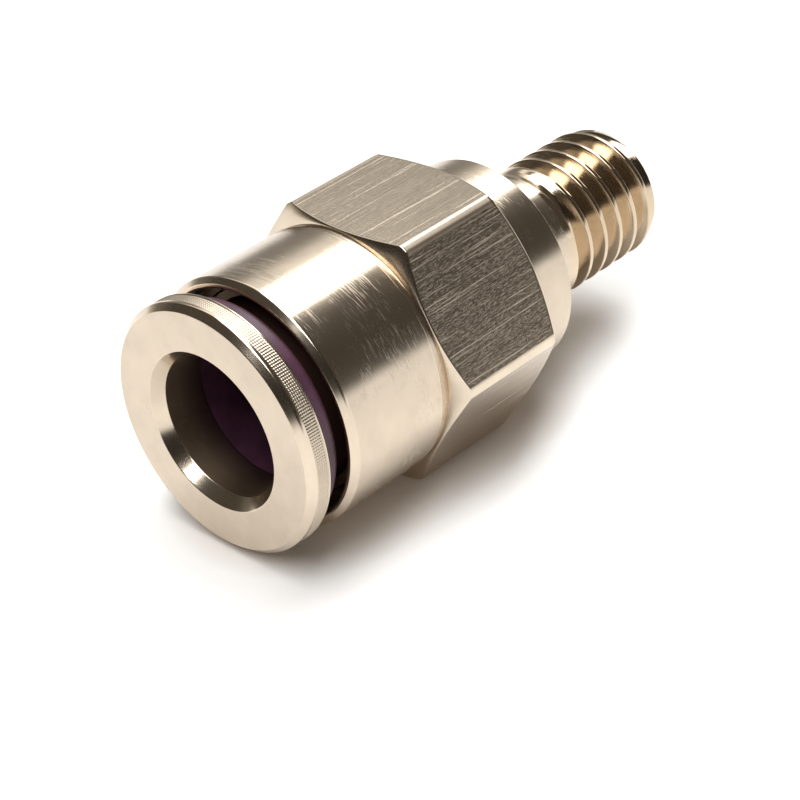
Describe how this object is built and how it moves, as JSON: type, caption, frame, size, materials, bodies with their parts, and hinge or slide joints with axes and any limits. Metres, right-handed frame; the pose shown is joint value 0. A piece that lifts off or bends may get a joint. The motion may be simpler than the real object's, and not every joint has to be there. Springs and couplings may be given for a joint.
{
  "type": "push-in fitting",
  "caption": "Straight push-in fitting for 6 mm tube, with a knurled metal release collar, a hexagon body and a threaded male stud.",
  "frame": {"origin": "on the axis, in the plane where the stud leaves the shoulder", "axes": "+X along the axis and out of the stud, +Z square to a flat of the hexagon, up when the fitting lies on the opposite flat"},
  "size_m": [0.0244, 0.0126, 0.011],
  "materials": {
    "nickel_body": "nickel-plated, turned and brushed",
    "nickel_collar": "nickel-plated, satin, knurled rim",
    "nickel_ring": "nickel-plated, turned",
    "purple_polymer": "glossy moulded polymer",
    "dark_polymer": "moulded",
    "seal_rubber": "moulded nitrile",
    "stainless": "stamped"
  },
  "bodies": {
    "fitting": {"body": "nickel_body", "cone_ring": "nickel_ring", "support_ring": "dark_polymer", "tube_seal": "seal_rubber"},
    "release": {"release_collar": "nickel_collar", "collet": "purple_polymer", "claw_1": "stainless", "claw_2": "stainless", "claw_3": "stainless", "claw_4": "stainless", "claw_5": "stainless", "claw_6": "stainless"}
  },
  "joints": [
    {"name": "release_push", "type": "slide", "parent": "fitting", "child": "release", "axis": [1, 0, 0], "range_m": [0, 0.001]}
  ]
}
